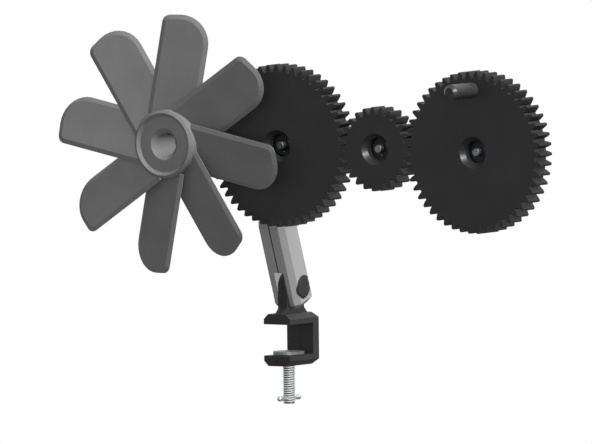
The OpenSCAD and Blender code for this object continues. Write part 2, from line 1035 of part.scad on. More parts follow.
// Half of a tooth's angle at the radius r
function tooth_half(teeth, r) =
    pitch_half(teeth) + inv_deg(pressure) - inv_deg(acos(min(1, base_r(teeth) / r)));
function flank_from(teeth) = max(root_r(teeth), base_r(teeth));
function flank_r(teeth, i) =
    flank_from(teeth) + (tip_r(teeth) - flank_from(teeth)) * i / flank_steps;
function polar(r, a) = [r * cos(a), r * sin(a)];
function tooth(teeth, a) = concat(
    [polar(root_r(teeth), a - tooth_half(teeth, flank_from(teeth)))],
    [for (i = [(base_r(teeth) > root_r(teeth) ? 0 : 1) : flank_steps])
        polar(flank_r(teeth, i), a - tooth_half(teeth, flank_r(teeth, i)))],
    [for (i = [flank_steps : -1 : (base_r(teeth) > root_r(teeth) ? 0 : 1)])
        polar(flank_r(teeth, i), a + tooth_half(teeth, flank_r(teeth, i)))],
    [polar(root_r(teeth), a + tooth_half(teeth, flank_from(teeth)))]
);

module gear_outline(teeth, phase) {
    polygon([for (i = [0 : teeth - 1]) each tooth(teeth, phase + i * 360 / teeth)]);
}

// The bore of every wheel: a lip behind, a seat for the bearing, then open to the front
module wheel_bore(front) {
    translate([0, 0, -past])
        cylinder(r = lip_r, h = bearing_a + 2 * past);
    translate([0, 0, bearing_a])
        cylinder(d = bearing_od, h = front);
    translate([0, 0, front - bore_bevel])
        cylinder(d1 = bearing_od, d2 = bearing_od + 2 * (bore_bevel + past),
            h = bore_bevel + past);
}

module gear_blank(teeth, phase) {
    difference() {
        linear_extrude(gear_t)
            gear_outline(teeth, phase);
        wheel_bore(gear_t);
    }
}

pin_nut_af = 8;
pin_nut_h = 4;
pin_nut_sink = 1;

module crank_gear() {
    color(black_plastic)
        on_train(crank_x)
            difference() {
                gear_blank(big_teeth, crank_phase);
                translate([0, crank_r, -past]) {
                    cylinder(d = pin_thread_d + 2 * run, h = gear_t + 2 * past);
                    cylinder(d = (pin_nut_af + 4 * run) / cos(30),
                        h = pin_nut_h + pin_nut_sink + past, $fn = 6);
                }
            }
}

module idler_gear() {
    color(black_plastic)
        on_train(idler_x)
            gear_blank(small_teeth, idler_phase);
}

module transfer_gear() {
    color(black_plastic)
        on_train(transfer_x)
            gear_blank(big_teeth, transfer_phase);
}

// The handle turns on the pin between the gear's face and the pin's head
handle_gap = 0.3;
head_a = gear_t + handle_gap + handle_l - plug_t - pin_head_h;

module crank_pin() {
    tip = 0.5;
    color(steel)
        on_train(crank_x)
            translate([0, crank_r, 0])
                rotate_extrude()
                    polygon([
                        [0, pin_nut_sink + tip], [pin_thread_d / 2 - tip, pin_nut_sink + tip],
                        [pin_thread_d / 2, pin_nut_sink + 2 * tip],
                        [pin_thread_d / 2, gear_t], [pin_d / 2, gear_t],
                        [pin_d / 2, head_a], [pin_head_d / 2, head_a],
                        [pin_head_d / 2, head_a + pin_head_h], [0, head_a + pin_head_h]
                    ]);
}

module crank_pin_nut() {
    color(steel)
        on_train(crank_x)
            translate([0, crank_r, pin_nut_sink])
                difference() {
                    cylinder(d = pin_nut_af / cos(30), h = pin_nut_h, $fn = 6);
                    translate([0, 0, -past])
                        cylinder(d = pin_thread_d, h = pin_nut_h + 2 * past);
                }
}

// Radius of the pocket for the pin's head and of the plug that closes it
plug_r = pin_head_d / 2 + 2 * run;

module handle_sleeve() {
    r = handle_d / 2;
    start = gear_t + handle_gap;
    color(black_plastic)
        on_train(crank_x)
            translate([0, crank_r, 0])
                difference() {
                    rotate_extrude()
                        polygon([
                            [0, start], [r, start], [r, start + handle_l - handle_bevel],
                            [r - handle_bevel, start + handle_l], [0, start + handle_l]
                        ]);
                    translate([0, 0, start - past])
                        cylinder(d = pin_d + 2 * run, h = handle_l);
                    translate([0, 0, head_a - handle_gap])
                        cylinder(r = plug_r, h = handle_l);
                }
}

module handle_plug() {
    start = head_a + pin_head_h + handle_gap;
    color(black_plastic)
        on_train(crank_x)
            translate([0, crank_r, start])
                cylinder(r = plug_r, h = plug_t - handle_gap);
}

// Outline of a blade in its own plane: u across it and v out from the axis.
// in shrinks the outline inwards, and leaves its root inside the hub as it is.
lead_u = -blade_w / 2 - blade_shift;
trail_u = blade_w / 2 - blade_shift;
// How far the blades' roots reach into the hub
root_depth = 8;
root_v = hub_d / 2 - root_depth;
corner_steps = 9;
// Height of a corner's centre, which lies r inside the slanted tip line
function corner_v(u, r) = (blade_r * cos(tip_slant) - r + sin(tip_slant) * u) / cos(tip_slant);
function corner(u, r, in, from, to) = [
    for (i = [0 : corner_steps])
        [u, corner_v(u, r)] + (r - in) * [
            cos(from + (to - from) * i / corner_steps),
            sin(from + (to - from) * i / corner_steps)
        ]
];
function blade_ring(in, z) = [
    for (p = concat(
        [[trail_u - in, root_v]],
        corner(trail_u - tip_r_trail, tip_r_trail, in, 0, 90 + tip_slant),
        corner(lead_u + tip_r_lead, tip_r_lead, in, 90 + tip_slant, 180),
        [[lead_u + in, root_v]]
    )) [p[0], p[1], z]
];

// A flat blade whose two faces are bevelled down to a thin edge
module blade() {
    rings = [
        blade_ring(blade_bevel, blade_t / 2), blade_ring(0, blade_land / 2),
        blade_ring(0, -blade_land / 2), blade_ring(blade_bevel, -blade_t / 2)
    ];
    n = len(rings[0]);
    last = len(rings) - 1;
    polyhedron(
        points = [for (ring = rings) each ring],
        faces = concat(
            [[for (i = [n - 1 : -1 : 0]) i]],
            [for (k = [0 : last - 1])
                for (i = [0 : n - 1])
                    [k * n + i, k * n + (i + 1) % n, (k + 1) * n + (i + 1) % n, (k + 1) * n + i]],
            [[for (i = [0 : n - 1]) last * n + i]]
        )
    );
}

module fan_rotor() {
    r = hub_d / 2;
    rim_top = gear_t + hub_l + rim_out_h;
    face = rim_top - rim_in_h;
    color(grey_plastic)
        on_train(fan_x)
            difference() {
                union() {
                    linear_extrude(gear_t)
                        gear_outline(small_teeth, fan_phase);
                    rotate_extrude()
                        polygon([
                            [0, gear_t - past], [r, gear_t - past], [r, gear_t + hub_l],
                            [r - rim_out, rim_top], [r - rim_out - rim_in, face], [0, face]
                        ]);
                    for (i = [0 : blade_n - 1])
                        rotate([0, 0, -first_blade - i * 360 / blade_n])
                            translate([0, 0, gear_t + blade_ahead])
                                rotate([0, blade_pitch, 0])
                                    blade();
                }
                wheel_bore(face);
            }
}

clamp_body();
clamp_insert();
clamp_pad();
clamp_screw();
tommy_bar();
tommy_knobs();
arm_left_half();
arm_right_half();
arm_screws();
lower_pivot_bolt();
lower_pivot_nut();
lower_pivot_caps();
lower_friction_washers();
upper_pivot_pin();
upper_friction_washers();
neck();
gear_frame();
frame_screws();
frame_nuts();
crank_axle();
idler_axle();
transfer_axle();
fan_axle();
axle_washers();
axle_nuts();
crank_bearing_inner();
idler_bearing_inner();
transfer_bearing_inner();
fan_bearing_inner();
crank_gear();
crank_bearing_outer();
crank_bearing_seals();
crank_pin();
crank_pin_nut();
handle_sleeve();
handle_plug();
idler_gear();
idler_bearing_outer();
idler_bearing_seals();
transfer_gear();
transfer_bearing_outer();
transfer_bearing_seals();
fan_rotor();
fan_bearing_outer();
fan_bearing_seals();
crank_bearing_balls();
crank_bearing_cage();
idler_bearing_balls();
idler_bearing_cage();
transfer_bearing_balls();
transfer_bearing_cage();
fan_bearing_balls();
fan_bearing_cage();
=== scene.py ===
# A hand cranked desk fan: four wheels on a frame, a folding arm and a screw clamp.
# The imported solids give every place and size. This file gives the surfaces, and finer
# meshes for the small turned pieces.
import math

import bmesh
import bpy
from mathutils import Matrix, Vector


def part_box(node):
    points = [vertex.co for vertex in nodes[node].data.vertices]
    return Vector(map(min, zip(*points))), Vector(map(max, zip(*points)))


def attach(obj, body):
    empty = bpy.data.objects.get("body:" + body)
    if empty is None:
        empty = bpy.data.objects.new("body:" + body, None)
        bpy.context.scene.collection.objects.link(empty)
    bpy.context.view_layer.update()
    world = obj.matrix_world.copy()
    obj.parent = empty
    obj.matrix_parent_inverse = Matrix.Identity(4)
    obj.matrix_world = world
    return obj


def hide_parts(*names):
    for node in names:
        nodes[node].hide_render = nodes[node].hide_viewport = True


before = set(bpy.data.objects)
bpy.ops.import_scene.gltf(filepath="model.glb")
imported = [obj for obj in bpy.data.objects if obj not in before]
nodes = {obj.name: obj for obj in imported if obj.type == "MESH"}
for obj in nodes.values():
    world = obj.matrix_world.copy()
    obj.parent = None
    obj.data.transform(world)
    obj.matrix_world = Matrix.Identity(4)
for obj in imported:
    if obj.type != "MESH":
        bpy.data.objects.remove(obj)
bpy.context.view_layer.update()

# STAGE. A white paper sweep far below the fan, a desk's height under the clamp, and a white
# room. Camera rays see both as white, and the paper still takes the fan's shadow.
IMAGE_W = 592
PIXELS_PER_MM = 1.045
DESK_HEIGHT = 0.72
VIEW_RIGHT = Vector((0.8324, 0.5542, -0.0112)).normalized()
VIEW_BACK = Vector((0.5536, -0.8301, 0.0692)).normalized()
VIEW_CENTRE = Vector((0.04543, -0.05302, 0.10195))
CAMERA_AWAY = 1.5


def add(tree, kind, settings, links=None):
    """A node with its settings, by attribute or by input name, and its incoming links."""
    node = tree.nodes.new(kind)
    for key, value in settings.items():
        if isinstance(key, str) and hasattr(node, key):
            setattr(node, key, value)
        else:
            node.inputs[key].default_value = value
    for key, source in (links or {}).items():
        tree.links.new(source, node.inputs[key])
    return node


def srgb(text):
    """A hex colour as the linear numbers that the shader takes."""
    parts = [int(text[i : i + 2], 16) / 255 for i in (1, 3, 5)]
    return [p / 12.92 if p <= 0.04045 else ((p + 0.055) / 1.055) ** 2.4 for p in parts] + [1]


def blank_tree(owner):
    """The emptied node tree of a material or of the world."""
    owner.use_nodes = True
    owner.node_tree.nodes.clear()
    return owner.node_tree


scene = bpy.context.scene
scene.view_settings.view_transform = "Standard"

lens = bpy.data.cameras.new("camera")
lens.type = "ORTHO"
lens.ortho_scale = IMAGE_W / PIXELS_PER_MM / 1000
lens.clip_end = 10
camera = bpy.data.objects.new("camera", lens)
scene.collection.objects.link(camera)
view_up = VIEW_BACK.cross(VIEW_RIGHT).normalized()
view_right = view_up.cross(VIEW_BACK)
turn = Matrix((view_right, view_up, VIEW_BACK)).transposed().to_4x4()
camera.matrix_world = Matrix.Translation(VIEW_CENTRE + CAMERA_AWAY * VIEW_BACK) @ turn
scene.camera = camera

# The room's walls light the fan only dimly
ROOM_GREY = 0.22
room = bpy.data.worlds.new("room")
scene.world = room
tree = blank_tree(room)
path = add(tree, "ShaderNodeLightPath", {})
seen = add(tree, "ShaderNodeMath", {"operation": "MAXIMUM"},
           {0: path.outputs["Is Camera Ray"], 1: path.outputs["Is Transmission Ray"]})
seen = add(tree, "ShaderNodeMath", {"operation": "MAXIMUM"},
           {0: seen.outputs[0], 1: path.outputs["Is Glossy Ray"]})
dim = add(tree, "ShaderNodeBackground", {"Color": (1, 1, 1, 1), "Strength": ROOM_GREY})
white = add(tree, "ShaderNodeBackground", {"Color": (1, 1, 1, 1), "Strength": 1.0})
both = add(tree, "ShaderNodeMixShader", {},
           {0: seen.outputs[0], 1: dim.outputs[0], 2: white.outputs[0]})
add(tree, "ShaderNodeOutputWorld", {}, {"Surface": both.outputs[0]})


def lamp(name, towards, energy, spread, shadows=True, matt=True, shiny=True):
    """A broad lamp, far off in the direction towards. Its spread is in degrees."""
    light = bpy.data.lights.new(name, "SUN")
    light.energy = energy
    light.angle = math.radians(spread)
    light.use_shadow = shadows
    piece = bpy.data.objects.new(name, light)
    piece.visible_diffuse = matt
    piece.visible_glossy = shiny
    scene.collection.objects.link(piece)
    piece.rotation_euler = Vector(towards).to_track_quat("Z", "Y").to_euler()
    return piece


# The main lamp is high on the crank's side. Most of its light comes through a screen so wide
# that it fills the shadows, and the rest draws them softly.
SIDE = (0.655, -0.06, 0.753)
BROAD = 20  # degrees across each lamp, as a large softbox looks from the fan
lamp("side_screen", SIDE, energy=5.0, spread=BROAD, shadows=False)
lamp("side_lamp", SIDE, energy=0.8, spread=BROAD)
# A weak lamp is beside the camera, and another, behind the fan, shows only in matt surfaces
BEHIND = (-0.55, 0.8, 0.25)
lamp("front_lamp", VIEW_BACK, energy=0.85, spread=BROAD)
lamp("back_lamp", BEHIND, energy=1.5, spread=BROAD, shiny=False)
# A panel that shows only as a glint on the gears and the handle's sleeve
GLINT_SIDE = (0.716, -0.539, 0.444)
panel = lamp("glint_panel", GLINT_SIDE, energy=4.5, spread=18, shadows=False, matt=False)
glinting = bpy.data.collections.new("glinting")
panel.light_linking.receiver_collection = glinting

# White paper: plain white to the camera, and a dull grey to the light
PAPER_GREY = 0.2
PAPER_GLOW = 0.7
PAPER_HALF = 6.0
paper = bpy.data.materials.new("white_paper")
tree = blank_tree(paper)
path = add(tree, "ShaderNodeLightPath", {})
matt = add(tree, "ShaderNodeBsdfDiffuse", {"Color": (PAPER_GREY, PAPER_GREY, PAPER_GREY, 1)})
glow = add(tree, "ShaderNodeEmission", {"Color": (1, 1, 1, 1), "Strength": PAPER_GLOW})
white = add(tree, "ShaderNodeAddShader", {}, {0: matt.outputs[0], 1: glow.outputs[0]})
both = add(tree, "ShaderNodeMixShader", {},
           {0: path.outputs["Is Camera Ray"], 1: matt.outputs[0], 2: white.outputs[0]})
add(tree, "ShaderNodeOutputMaterial", {}, {"Surface": both.outputs[0]})
sweep = bpy.data.meshes.new("floor")
corners = [(-1, -1), (1, -1), (1, 1), (-1, 1)]
sweep.from_pydata([(x * PAPER_HALF, y * PAPER_HALF, -DESK_HEIGHT) for x, y in corners],
                  [], [(0, 1, 2, 3)])
sweep.materials.append(paper)
floor = bpy.data.objects.new("floor", sweep)
scene.collection.objects.link(floor)

# CLAMP. The C shaped clamp body is one moulding in black glass filled nylon, with the flat
# tab for the arm moulded on. The tool was spark eroded, which leaves a fine matt grain.
GRAIN = 0.0007  # the eroded grain, about 0.15 mm on the real tool, drawn coarser to show
FLOW = 0.035  # faint clouds of tone that the melt leaves, about 35 mm long
GRAIN_DEPTH = 0.00006
GRAIN_BUMP = 0.35
GRAIN_TONE = 0.35  # how much the grain changes the tone, next to the clouds
TONE_RANGE = (0.4, 0.95)  # clouds and grain together, at the dark tone and at the light one
GRAIN_GLOSS = 0.06  # how far the grain moves the roughness each way
EDGE = 0.00025  # radius on the moulding's edges
BORE_MOUTH = 0.0152  # radius where a gear's bevelled bore meets its face
CUT_ROUGH = 0.34  # how rough the tool leaves it
SEAM_SHADE_WIDTH = 0.0013  # width of a painted hairline of shade where the mould halves meet, standing in for the shadow in their fine V groove, drawn wider to show


def moulded(name, light, dark, ior, shine, rough, bores=(), seam_shade=None):
    """Moulded plastic: two close tones in soft clouds, an even grain and softened edges. The
    bores are the places (x, z) where a tool cut it smoother. The seam shade is the tone of a
    painted hairline of shade down the plane x = 0, standing in for the shadow in the halves'
    groove."""
    material = bpy.data.materials.new(name)
    tree = blank_tree(material)
    place = add(tree, "ShaderNodeTexCoord", {}).outputs["Object"]
    cloud = add(tree, "ShaderNodeTexNoise", {"Scale": 1 / FLOW, "Detail": 3.0}, {"Vector": place})
    grain = add(tree, "ShaderNodeTexNoise", {"Scale": 1 / GRAIN, "Detail": 2.0}, {"Vector": place})
    tone = add(tree, "ShaderNodeMath", {"operation": "MULTIPLY_ADD", 1: GRAIN_TONE},
               {0: grain.outputs[0], 2: cloud.outputs[0]})
    tone = add(tree, "ShaderNodeMapRange",
               {"From Min": TONE_RANGE[0], "From Max": TONE_RANGE[1]}, {"Value": tone.outputs[0]})
    colour = add(tree, "ShaderNodeMix", {"data_type": "RGBA", 6: srgb(dark), 7: srgb(light)},
                 {0: tone.outputs[0]})
    # Painted shade: a dark hairline down x = 0 that stands in for the shadow in the seam's groove
    if seam_shade:
        across = add(tree, "ShaderNodeSeparateXYZ", {}, {0: place})
        across = add(tree, "ShaderNodeMath", {"operation": "ABSOLUTE"}, {0: across.outputs[0]})
        line = add(tree, "ShaderNodeMath", {"operation": "LESS_THAN", 1: SEAM_SHADE_WIDTH / 2},
                   {0: across.outputs[0]})
        colour = add(tree, "ShaderNodeMix", {"data_type": "RGBA", 7: srgb(seam_shade)},
                     {0: line.outputs[0], 6: colour.outputs[2]})
    gloss = add(tree, "ShaderNodeMapRange",
                {"To Min": rough - GRAIN_GLOSS, "To Max": rough + GRAIN_GLOSS},
                {"Value": grain.outputs[0]})
    for x, z in bores:
        flat = add(tree, "ShaderNodeVectorMath", {"operation": "MULTIPLY", 1: (1, 0, 1)},
                   {0: place})
        away = add(tree, "ShaderNodeVectorMath", {"operation": "DISTANCE", 1: (x, 0, z)},
                   {0: flat.outputs[0]})
        cut = add(tree, "ShaderNodeMath", {"operation": "LESS_THAN", 1: BORE_MOUTH},
                  {0: away.outputs["Value"]})
        gloss = add(tree, "ShaderNodeMath", {"operation": "MULTIPLY_ADD", 1: CUT_ROUGH - rough},
                    {0: cut.outputs[0], 2: gloss.outputs[0]})
    edge = add(tree, "ShaderNodeBevel", {"samples": 6, "Radius": EDGE})
    bump = add(tree, "ShaderNodeBump", {"Strength": GRAIN_BUMP, "Distance": GRAIN_DEPTH},
               {"Height": grain.outputs[0], "Normal": edge.outputs[0]})
    skin = add(tree, "ShaderNodeBsdfPrincipled", {"IOR": ior, "Specular IOR Level": shine},
               {"Base Color": colour.outputs[2], "Roughness": gloss.outputs[0],
                "Normal": bump.outputs[0]})
    add(tree, "ShaderNodeOutputMaterial", {}, {"Surface": skin.outputs[0]})
    return material


def dress(material, *names):
    """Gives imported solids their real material."""
    for name in names:
        for place in nodes[name].material_slots:
            place.material = material


# Black nylon: dense black with a soft, low sheen
NYLON = {"light": "#272728", "dark": "#1f1f21", "ior": 1.53, "shine": 0.2, "rough": 0.5}
black_nylon = moulded("black_glass_filled_nylon", **NYLON)
# The same nylon with a painted hairline of shade down its middle, where the mould's parting line
# would be shaded
seam_shaded_nylon = moulded("black_nylon_painted_seam_shade", seam_shade="#060606", **NYLON)
dress(seam_shaded_nylon, "clamp_body")

# THREADED INSERT. A turned brass bush pressed into the lower jaw, which carries the screw.
# It is cut on a lathe and left bare.
# Painted shade for the bottom of a thread's roots
THREAD_ROOT_SHADE = "#4c4c4d"
TOOL_MARK = 0.0006  # turning marks, about 0.1 mm apart on the real pieces, drawn coarser
MARK_DEPTH = 0.00003
MARK_BUMP = 0.1
MARK_GLOSS = 0.05  # how far a mark moves the roughness each way


def bare_metal(name, light, dark, rough, shaded_groove=None):
    """Metal with fine tool marks, which break up its shine and tone a little. A shaded groove is
    (radius at its bottom, radius where it ends) about the Z axis, and gets painted shade there."""
    material = bpy.data.materials.new(name)
    tree = blank_tree(material)
    place = add(tree, "ShaderNodeTexCoord", {}).outputs["Object"]
    marks = add(tree, "ShaderNodeTexNoise", {"Scale": 1 / TOOL_MARK, "Detail": 4.0},
                {"Vector": place})
    colour = add(tree, "ShaderNodeMix", {"data_type": "RGBA", 6: srgb(dark), 7: srgb(light)},
                 {0: marks.outputs[0]})
    # Painted shade: darker towards the bottom of the shaded groove, where the thread's roots would
    # be in shade
    if shaded_groove:
        flat = add(tree, "ShaderNodeVectorMath", {"operation": "MULTIPLY", 1: (1, 1, 0)},
                   {0: place})
        radius = add(tree, "ShaderNodeVectorMath", {"operation": "LENGTH"}, {0: flat.outputs[0]})
        unshaded = add(tree, "ShaderNodeMapRange", {"From Min": shaded_groove[0], "From Max": shaded_groove[1]},
                    {"Value": radius.outputs["Value"]})
        colour = add(tree, "ShaderNodeMix", {"data_type": "RGBA", 6: srgb(THREAD_ROOT_SHADE)},
                     {0: unshaded.outputs[0], 7: colour.outputs[2]})
    gloss = add(tree, "ShaderNodeMapRange",
                {"To Min": rough - MARK_GLOSS, "To Max": rough + MARK_GLOSS},
                {"Value": marks.outputs[0]})
    bump = add(tree, "ShaderNodeBump", {"Strength": MARK_BUMP, "Distance": MARK_DEPTH},
               {"Height": marks.outputs[0]})
    skin = add(tree, "ShaderNodeBsdfPrincipled", {"Metallic": 1.0},
               {"Base Color": colour.outputs[2], "Roughness": gloss.outputs[0],
                "Normal": bump.outputs[0]})
    add(tree, "ShaderNodeOutputMaterial", {}, {"Surface": skin.outputs[0]})
    return material


# Turned brass: warm yellow, bright where it faces the light
turned_brass = bare_metal("turned_brass", "#bb9c58", "#a5864a", rough=0.32)
dress(turned_brass, "clamp_insert")

# CLAMP SCREW. A zinc plated steel screw with a coarse rolled thread of 2.2 mm pitch. Its upper
# end is riveted over inside the round pad, and the tommy bar slides in a cross hole below.
THREAD_PITCH = 0.0022
THREAD_DEPTH = 0.0008
THREAD_ROWS = (0, 0, 0, 0.5, 1, 1, 1, 0.5)  # depth over one pitch: crest, flank, root, flank
SCREW_BEVEL = 0.0012
RIVET_R = 0.003
RIVET_HEAD_R = 0.0042
CLEARANCE = 0.00005  # air between the screw and the pad or the bar
DRILL_REACH = 0.01  # how far the drill that cuts the cross hole reaches each way
ROUND = 48  # sides of a round piece
SMOOTH = math.radians(35)  # edges sharper than this stay sharp
ALONG_Y = Matrix.Rotation(math.radians(-90), 4, "X")  # lays a piece built along Z along Y


def threaded(body, low, high, r, pitch, depth, bevel, steps, place):
    """A threaded rod: one sheet wound along the helix, then closed by a flat at each end."""
    rows = len(THREAD_ROWS)
    grid = []
    for k in range((int((high - low) / pitch) + 2) * rows + 1):
        line = []
        for i in range(steps + 1):
            a = 2 * math.pi * i / steps
            h = low - pitch + pitch * (k / rows + i / steps)
            h = min(max(h, low), high)
            q = min(r - THREAD_ROWS[k % rows] * depth, r - bevel + min(h - low, high - h))
            line.append(body.verts.new(place @ Vector((q * math.cos(a), q * math.sin(a), h))))
        grid.append(line)
    for below, above in zip(grid, grid[1:]):
        for i in range(steps):
            body.faces.new((below[i], below[i + 1], above[i + 1], above[i]))
    bmesh.ops.remove_doubles(body, verts=body.verts, dist=1e-7)
    bmesh.ops.holes_fill(body, edges=[e for e in body.edges if e.is_boundary], sides=0)


def turned(body, rings, steps, place, bored=False):
    """A turned or hexagon piece. Each ring is (radius, height), or gives those for an angle.
    A bored piece joins its last ring to its first, and any other gets a flat at each end."""
    rows = []
    for ring in rings:
        line = []
        for i in range(steps):
            a = 2 * math.pi * i / steps
            r, h = ring(a) if callable(ring) else ring
            line.append(body.verts.new(place @ Vector((r * math.cos(a), r * math.sin(a), h))))
        rows.append(line)
    for below, above in zip(rows, rows[1:] + rows[:1] if bored else rows[1:]):
        for i in range(steps):
            j = (i + 1) % steps
            body.faces.new((below[i], below[j], above[j], above[i]))
    if not bored:
        body.faces.new(rows[0])
        body.faces.new(rows[-1])


def new_piece(name, build, material):
    """An object whose mesh build fills in, shaded smooth except over sharp edges."""
    body = bmesh.new()
    build(body)
    bmesh.ops.recalc_face_normals(body, faces=body.faces)
    mesh = bpy.data.meshes.new(name)
    body.to_mesh(mesh)
    body.free()
    mesh.materials.append(material)
    mesh.shade_smooth()
    mesh.set_sharp_from_angle(angle=SMOOTH)
    piece = bpy.data.objects.new(name, mesh)
    scene.collection.objects.link(piece)
    return piece


screw_low, rivet_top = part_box("clamp_screw")
pad_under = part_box("clamp_pad")[0].z
bar_low, bar_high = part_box("tommy_bar")
bar_r = (bar_high.z - bar_low.z) / 2
bar_z = (bar_high.z + bar_low.z) / 2


def screw_mesh(body):
    threaded(body, screw_low.z, pad_under - CLEARANCE, rivet_top.x, THREAD_PITCH, THREAD_DEPTH,
             SCREW_BEVEL, ROUND, Matrix.Identity(4))
    slope = RIVET_HEAD_R - RIVET_R
    turned(body, [(RIVET_R, pad_under - SCREW_BEVEL), (RIVET_R, rivet_top.z - slope),
                  (RIVET_HEAD_R, rivet_top.z)], ROUND, Matrix.Identity(4))


def cross_hole(body):
    place = Matrix.Translation((0, 0, bar_z)) @ ALONG_Y
    r = bar_r + CLEARANCE
    turned(body, [(r, -DRILL_REACH), (r, DRILL_REACH)], ROUND, place)


# Zinc plate: a pale silver grey with a broad soft bloom where the lamp catches it
zinc = bare_metal("zinc_plate", "#b2b4b6", "#a2a4a6", rough=0.5)
# The same plate painted brighter, as a painted highlight on the thread, with painted shade along
# the thread's roots
thread_root = rivet_top.x - THREAD_DEPTH
painted_thread_zinc = bare_metal("zinc_plate_painted_thread_light_and_shade", "#d2d4d6", "#c4c6c8", rough=0.55,
                     shaded_groove=(thread_root, thread_root + THREAD_DEPTH / 2))
# The same plate rubbed against desk boards: darker, with a weaker bloom
rubbed_zinc = bare_metal("rubbed_zinc_plate", "#7c7e80", "#6d6f71", rough=0.5)
screw = new_piece("clamp_screw_threaded", screw_mesh, painted_thread_zinc)
drill = new_piece("drill", cross_hole, painted_thread_zinc)
hole = screw.modifiers.new("cross_hole", "BOOLEAN")
hole.object = drill
hole.operation = "DIFFERENCE"
hole.solver = "EXACT"
graph = bpy.context.evaluated_depsgraph_get()
drilled = bpy.data.meshes.new_from_object(screw.evaluated_get(graph))
screw.modifiers.clear()
screw.data = drilled
drilled.shade_smooth()
drilled.set_sharp_from_angle(angle=SMOOTH)
bpy.data.objects.remove(drill)
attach(screw, "screw")
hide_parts("clamp_screw")
dress(rubbed_zinc, "clamp_pad")

# TOMMY BAR. A turned zinc plated bar that slides through the screw and gives the hand its
# leverage. The round knob on each end keeps it in.
KNOB_STEPS = 12
KNOB_TIP = math.radians(4)  # the small flat that the lathe leaves on each end
BAR_SIDES = 32
knob_low, knob_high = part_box("tommy_knobs")
knob_r = (knob_high.z - knob_low.z) / 2
knob_y = knob_high.y - knob_r


def bar_mesh(body):
    neck = math.asin(bar_r / knob_r)
    arc = [KNOB_TIP + (math.pi - neck - KNOB_TIP) * i / KNOB_STEPS
           for i in range(KNOB_STEPS + 1)]
    left = [(knob_r * math.sin(t), -knob_y - knob_r * math.cos(t)) for t in arc]
    right = [(r, -h) for r, h in reversed(left)]
    turned(body, left + right, BAR_SIDES, Matrix.Translation((0, 0, bar_z)) @ ALONG_Y)


bar = new_piece("tommy_bar_turned", bar_mesh, zinc)
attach(bar, "tommy")
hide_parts("tommy_bar", "tommy_knobs")

# ARM. Two mirrored mouldings in pale grey ABS, screwed together along their middle. They
# clasp the clamp's tab below and the neck's tongue above.

# Pale grey ABS: an even, dry grey, here with a painted hairline of shade where the two halves meet
PALE_ABS = {"light": "#939393", "dark": "#8a8a8a", "ior": 1.54, "shine": 0.2, "rough": 0.52}
seam_shaded_abs = moulded("pale_grey_abs_painted_seam_shade", seam_shade="#202020", **PALE_ABS)
dress(seam_shaded_abs, "arm_left_half", "arm_right_half")

# ARM SCREWS AND PIVOTS. Steel socket screws sit in the left half. A steel bolt is the lower
# pivot, under two black nylon caps, and a hardened steel pin shut in the arm is the upper.

# Turned steel: mid grey, with a soft broken shine
turned_steel = bare_metal("turned_steel", "#747577", "#656668", rough=0.44)
dress(turned_steel, "arm_screws", "lower_pivot_bolt", "lower_pivot_nut", "upper_pivot_pin",
      "lower_friction_washers", "upper_friction_washers")
dress(black_nylon, "lower_pivot_caps")

# NECK AND GEAR FRAME. The neck stands on the arm's round top and carries the long bar that
# holds the four axles. Both are moulded in the same ABS as the arm, each in one piece.

# Pale grey ABS with no seam: the same even, dry grey as the arm
pale_abs = moulded("pale_grey_abs", **PALE_ABS)
dress(pale_abs, "neck", "gear_frame")

# FRAME SCREWS. Two M5 steel socket screws pass through the neck from behind into nuts sunk in
# the front of the bar. Their heads are knurled all round and have a hexagon socket.
HEAD_R = 0.00425
HEAD_H = 0.005
HEAD_BEVEL = 0.0006
HEAD_SIDES = 144
SHANK_R = 0.0025
TIP_BEVEL = 0.0005
SOCKET_AF = 0.004  # across the flats of its hexagon
KNURLS = 24
KNURL_DEPTH = 0.00012
screws_low, screws_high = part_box("frame_screws")


def hexagon(af, h, spread=0.0):
    """A hexagon ring af across its flats. Its corners drop by spread times how far they stand
    out past the flats."""
    def ring(a):
        off = (a + math.pi / 6) % (math.pi / 3) - math.pi / 6
        r = af / 2 / math.cos(off)
        return r, h - spread * (r - af / 2)
    return ring


def knurl(h):
    """A ring round the head at height h, with fine ridges."""
    return lambda a: (HEAD_R - KNURL_DEPTH * (1 + math.cos(KNURLS * a)) / 2, h)


def frame_screw_mesh(body):
    seat = screws_high.y - HEAD_H
    middle = (screws_high.z + screws_low.z) / 2
    apart = (screws_high.z - screws_low.z) / 2 - HEAD_R
    for side in (-1, 1):
        place = Matrix.Translation((0, seat, middle + side * apart)) @ ALONG_Y
        tip = screws_low.y - seat
        turned(body, [
            (SHANK_R - TIP_BEVEL, tip), (SHANK_R, tip + TIP_BEVEL), (SHANK_R, 0), knurl(0),
            knurl(HEAD_H - HEAD_BEVEL), (HEAD_R - HEAD_BEVEL / 2, HEAD_H - HEAD_BEVEL / 2),
            (HEAD_R - HEAD_BEVEL, HEAD_H), hexagon(SOCKET_AF, HEAD_H),
            hexagon(SOCKET_AF, HEAD_H / 2),
        ], HEAD_SIDES, place)


frame_screws = new_piece("frame_screws_knurled", frame_screw_mesh, turned_steel)
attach(frame_screws, "head")
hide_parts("frame_screws")
dress(turned_steel, "frame_nuts")

